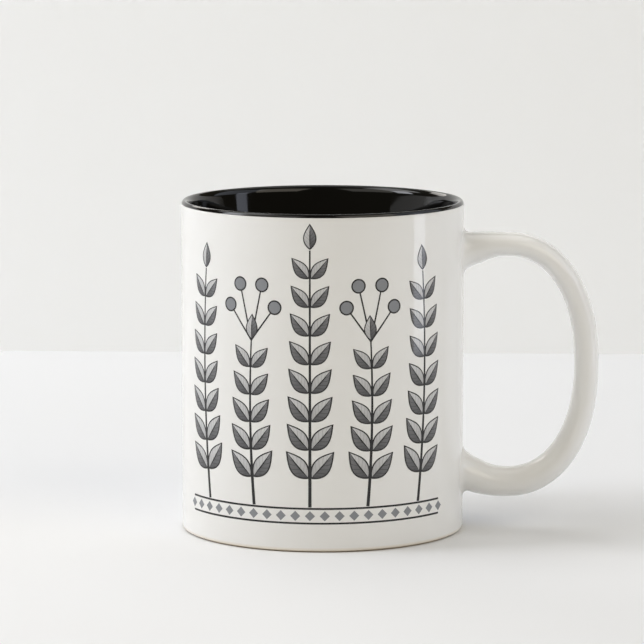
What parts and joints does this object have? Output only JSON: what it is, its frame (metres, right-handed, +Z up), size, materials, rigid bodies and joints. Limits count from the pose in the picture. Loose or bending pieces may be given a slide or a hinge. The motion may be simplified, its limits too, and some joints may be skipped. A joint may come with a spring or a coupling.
{
  "type": "coffee mug",
  "caption": "Straight-sided two-tone ceramic coffee mug, white outside and black inside, with a luted strap handle and an unglazed foot ring.",
  "frame": {"origin": "on the table plane, under the middle of the whole outline, handle included", "axes": "+Z up through the mouth, +X from the cup towards its handle, +Y to the side; the cup's own axis stands at x = -19.75 mm"},
  "size_m": [0.1216, 0.082, 0.096],
  "materials": {
    "bare_clay": "fired stoneware, unglazed and matt",
    "white_glaze": "glossy white glaze",
    "black_glaze": "glossy black glaze"
  },
  "bodies": {
    "root": {"clay_body": "bare_clay", "outer_glaze": "white_glaze", "liner_glaze": "black_glaze", "base_glaze": "white_glaze", "handle": "white_glaze", "upper_joint": "white_glaze", "lower_joint": "white_glaze"}
  },
  "joints": []
}
